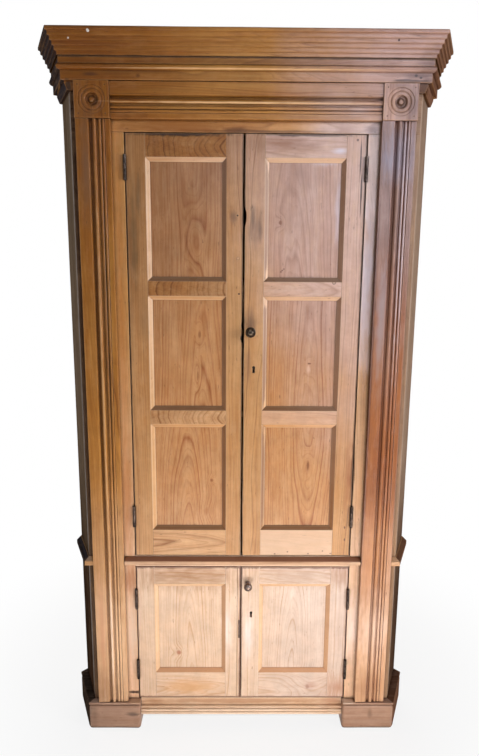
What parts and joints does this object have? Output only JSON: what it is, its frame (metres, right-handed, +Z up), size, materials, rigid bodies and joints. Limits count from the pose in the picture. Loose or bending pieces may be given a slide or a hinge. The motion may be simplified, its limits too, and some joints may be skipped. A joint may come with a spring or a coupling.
{
  "type": "corner cabinet",
  "caption": "Tall pine corner cabinet with canted sides, reeded casings, rosette corner blocks, a stepped cornice, and hinged panelled doors above and below closing off fixed shelves.",
  "frame": {"origin": "middle of the bounding box at floor level", "axes": "+Z up, -Y out of the doors into the room, +X to the right of someone facing the doors"},
  "size_m": [1.1812, 0.7542, 2.1006],
  "materials": {
    "pine": "stripped and waxed, honey brown",
    "pale_pine": "stripped and waxed, paler and worn",
    "shaded_pine": "waxed, dark with age",
    "rough_pine": "sawn and unfinished",
    "iron": "dark, rubbed",
    "brass": "aged and dull"
  },
  "bodies": {
    "carcass": {"bottom_board": "rough_pine", "deck_board": "rough_pine", "shelf_1": "rough_pine", "shelf_2": "rough_pine", "top_board": "rough_pine", "back_panel_left": "rough_pine", "back_panel_right": "rough_pine", "side_panel_left": "shaded_pine", "side_panel_right": "shaded_pine", "face_stile_left": "pine", "face_stile_right": "pine", "face_top_rail": "pine", "pilaster_left": "pine", "pilaster_right": "pine", "corner_block_left": "pine", "corner_block_right": "pine", "frieze_casing": "pine", "cornice_bed": "pine", "cornice_crown": "pine", "waist_moulding_left": "pine", "waist_moulding_right": "pine", "face_waist_rail": "pale_pine", "face_base_rail": "pale_pine", "waist_moulding_front": "pale_pine", "foot_left": "pale_pine", "foot_right": "pale_pine", "upper_left_door_low_hinge_frame_leaf": "iron", "upper_left_door_high_hinge_frame_leaf": "iron", "upper_right_door_low_hinge_frame_leaf": "iron", "upper_right_door_high_hinge_frame_leaf": "iron", "lower_left_door_low_hinge_frame_leaf": "iron", "lower_left_door_high_hinge_frame_leaf": "iron", "lower_right_door_low_hinge_frame_leaf": "iron", "lower_right_door_high_hinge_frame_leaf": "iron"},
    "upper_left_door": {"upper_left_door_frame": "pine", "upper_left_door_panel_1": "pine", "upper_left_door_panel_2": "pine", "upper_left_door_panel_3": "pine", "upper_left_door_low_hinge_door_leaf": "iron", "upper_left_door_high_hinge_door_leaf": "iron"},
    "upper_right_door": {"upper_right_door_frame": "pine", "upper_right_door_panel_1": "pine", "upper_right_door_panel_2": "pine", "upper_right_door_panel_3": "pine", "upper_right_door_low_hinge_door_leaf": "iron", "upper_right_door_high_hinge_door_leaf": "iron", "upper_lock_case": "iron"},
    "lower_left_door": {"lower_left_door_frame": "pale_pine", "lower_left_door_panel_1": "pale_pine", "lower_left_door_low_hinge_door_leaf": "iron", "lower_left_door_high_hinge_door_leaf": "iron"},
    "lower_right_door": {"lower_right_door_frame": "pale_pine", "lower_right_door_panel_1": "pale_pine", "lower_right_door_low_hinge_door_leaf": "iron", "lower_right_door_high_hinge_door_leaf": "iron", "lower_lock_case": "iron"},
    "upper_catch": {"upper_knob_catch": "brass"},
    "upper_bolt": {"upper_lock_bolt": "brass"},
    "lower_catch": {"lower_knob_catch": "brass"},
    "lower_bolt": {"lower_lock_bolt": "brass"}
  },
  "joints": [
    {"name": "upper_left_door_hinge", "type": "hinge", "parent": "carcass", "child": "upper_left_door", "pos_m": [-0.3355, -0.3181, 0.6035], "axis": [0, 0, -1], "range_deg": [0, 150]},
    {"name": "upper_right_door_hinge", "type": "hinge", "parent": "carcass", "child": "upper_right_door", "pos_m": [0.3355, -0.3181, 0.6035], "axis": [0, 0, 1], "range_deg": [0, 150]},
    {"name": "lower_left_door_hinge", "type": "hinge", "parent": "carcass", "child": "lower_left_door", "pos_m": [-0.3355, -0.3181, 0.1], "axis": [0, 0, -1], "range_deg": [0, 150]},
    {"name": "lower_right_door_hinge", "type": "hinge", "parent": "carcass", "child": "lower_right_door", "pos_m": [0.3355, -0.3181, 0.1], "axis": [0, 0, 1], "range_deg": [0, 150]},
    {"name": "upper_catch_turn", "type": "hinge", "parent": "upper_right_door", "child": "upper_catch", "pos_m": [0.017, -0.3131, 1.307], "axis": [0, 1, 0], "range_deg": [0, 90]},
    {"name": "upper_bolt_slide", "type": "slide", "parent": "upper_right_door", "child": "upper_bolt", "axis": [-1, 0, 0], "range_m": [0, 0.012]},
    {"name": "lower_catch_turn", "type": "hinge", "parent": "lower_right_door", "child": "lower_catch", "pos_m": [0.017, -0.3131, 0.506], "axis": [0, 1, 0], "range_deg": [0, 90]},
    {"name": "lower_bolt_slide", "type": "slide", "parent": "lower_right_door", "child": "lower_bolt", "axis": [-1, 0, 0], "range_m": [0, 0.012]}
  ]
}
